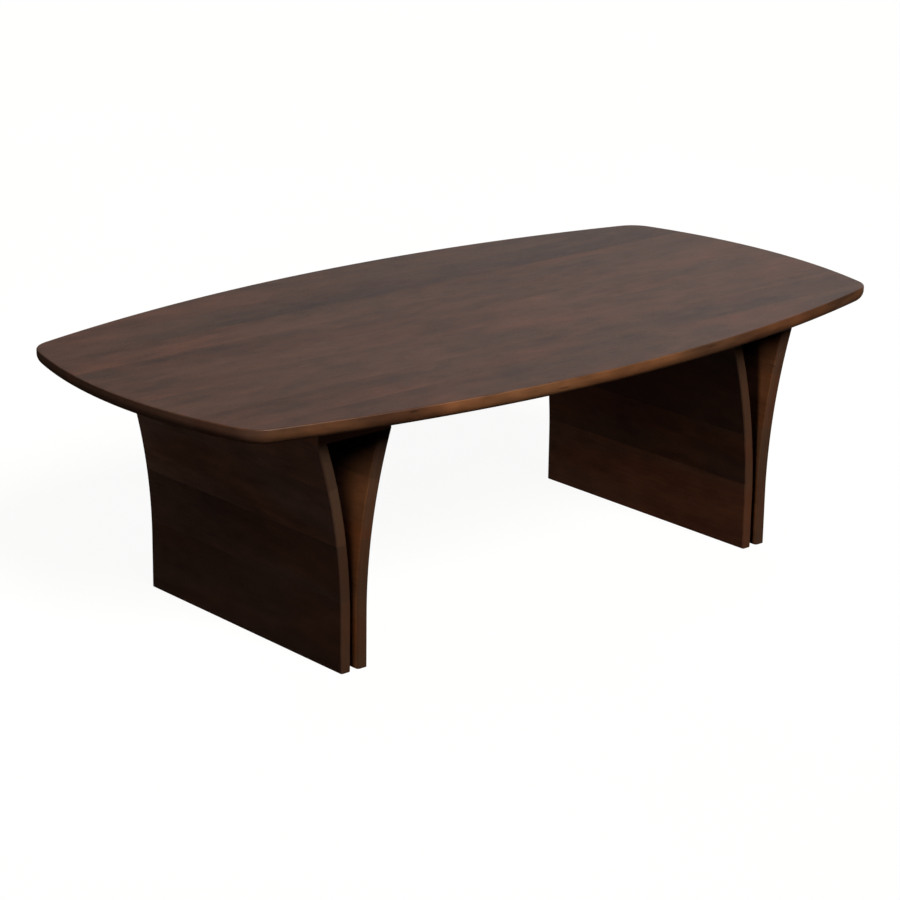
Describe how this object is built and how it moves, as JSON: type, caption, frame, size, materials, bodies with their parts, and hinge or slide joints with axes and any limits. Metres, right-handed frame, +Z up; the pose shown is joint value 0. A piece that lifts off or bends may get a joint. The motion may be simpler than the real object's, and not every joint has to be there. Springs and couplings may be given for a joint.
{
  "type": "coffee table",
  "caption": "Low table with a barrel-shaped solid wood top on paired, outward-curving panel legs that leave an open V-shaped hollow, joined by cap boards, tongues and bolts.",
  "frame": {"origin": "on the floor, under the middle of the tabletop", "axes": "+X along the table's length, +Y across it, away from the side that faces the camera, +Z up"},
  "size_m": [1.2998, 0.692, 0.4],
  "materials": {
    "top_wood": "dark walnut, satin oil",
    "leg_wood": "dark walnut, satin oil",
    "tongue_wood": "plain beech, unfinished",
    "bolt_steel": "black oxide",
    "insert_steel": "zinc plated"
  },
  "bodies": {
    "root": {"top_board_1": "top_wood", "top_board_2": "top_wood", "top_board_3": "top_wood", "top_board_4": "top_wood", "top_board_5": "top_wood", "top_board_6": "top_wood", "top_board_7": "top_wood", "top_board_8": "top_wood", "left_leg_outer_stave_1": "leg_wood", "left_leg_outer_stave_2": "leg_wood", "left_leg_outer_stave_3": "leg_wood", "left_leg_outer_stave_4": "leg_wood", "left_leg_inner_stave_1": "leg_wood", "left_leg_inner_stave_2": "leg_wood", "left_leg_inner_stave_3": "leg_wood", "left_leg_inner_stave_4": "leg_wood", "left_leg_cap_board": "leg_wood", "left_leg_spacer_strip": "leg_wood", "left_leg_cap_tongues": "tongue_wood", "right_leg_outer_stave_1": "leg_wood", "right_leg_outer_stave_2": "leg_wood", "right_leg_outer_stave_3": "leg_wood", "right_leg_outer_stave_4": "leg_wood", "right_leg_inner_stave_1": "leg_wood", "right_leg_inner_stave_2": "leg_wood", "right_leg_inner_stave_3": "leg_wood", "right_leg_inner_stave_4": "leg_wood", "right_leg_cap_board": "leg_wood", "right_leg_spacer_strip": "leg_wood", "right_leg_cap_tongues": "tongue_wood", "tabletop_bolts": "bolt_steel", "tabletop_inserts": "insert_steel"}
  },
  "joints": []
}
